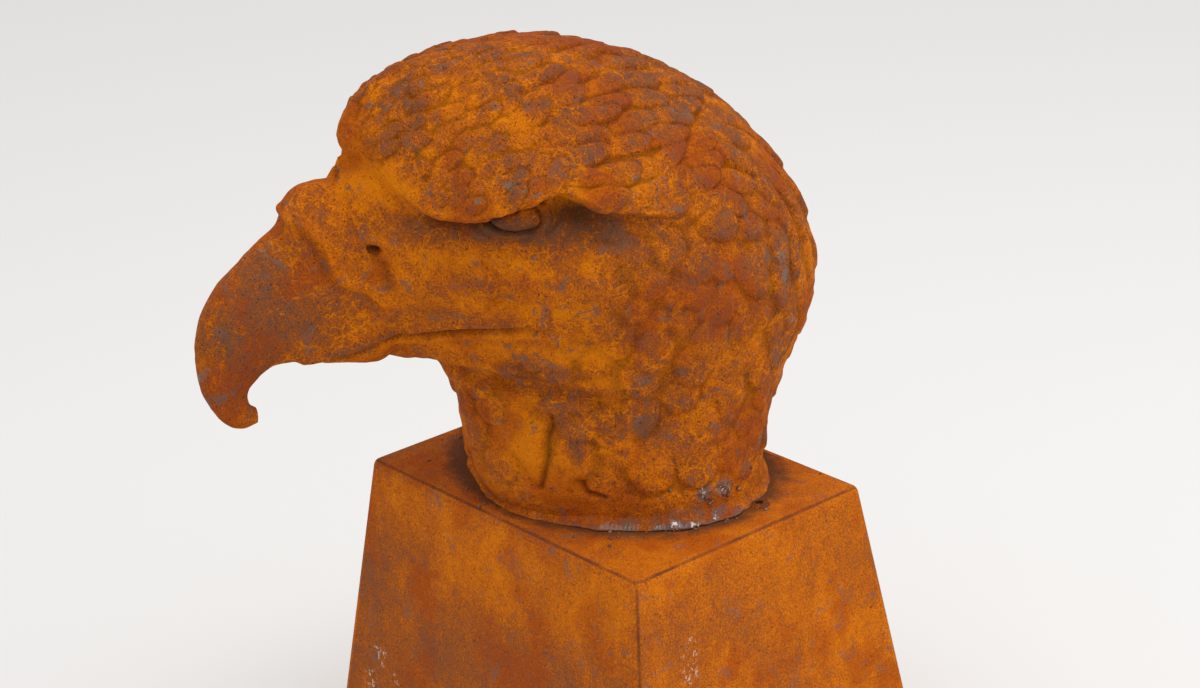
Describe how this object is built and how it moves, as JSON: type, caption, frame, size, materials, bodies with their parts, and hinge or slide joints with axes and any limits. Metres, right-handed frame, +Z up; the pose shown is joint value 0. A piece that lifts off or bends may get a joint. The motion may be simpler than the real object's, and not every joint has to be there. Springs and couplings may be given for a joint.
{
  "type": "eagle head sculpture",
  "caption": "Rusty cast iron eagle head with hooked beak and feathered neck, welded onto a tapered steel plate plinth; a garden or shelf figurine.",
  "frame": {"origin": "middle of the part's bounding box in plan, at the level of the plinth's bottom rim", "axes": "+Z up; the plinth's wide front faces -Y and its width lies along X; the beak points to -Y, turned 22 degrees towards -X"},
  "size_m": [0.3152, 0.359, 0.5177],
  "materials": {
    "rusty_iron_casting": "rusted sand casting",
    "weld_metal": "raw weld, tarnished",
    "rusty_plate": "evenly rusted mill plate",
    "seam_weld_metal": "dressed weld, rusted"
  },
  "bodies": {
    "root": {"head_casting": "rusty_iron_casting", "neck_weld": "weld_metal", "plinth_top_plate": "rusty_plate", "plinth_front_plate": "rusty_plate", "plinth_right_plate": "rusty_plate", "plinth_back_plate": "rusty_plate", "plinth_left_plate": "rusty_plate", "plinth_top_weld": "seam_weld_metal", "plinth_corner_welds": "seam_weld_metal"}
  },
  "joints": []
}
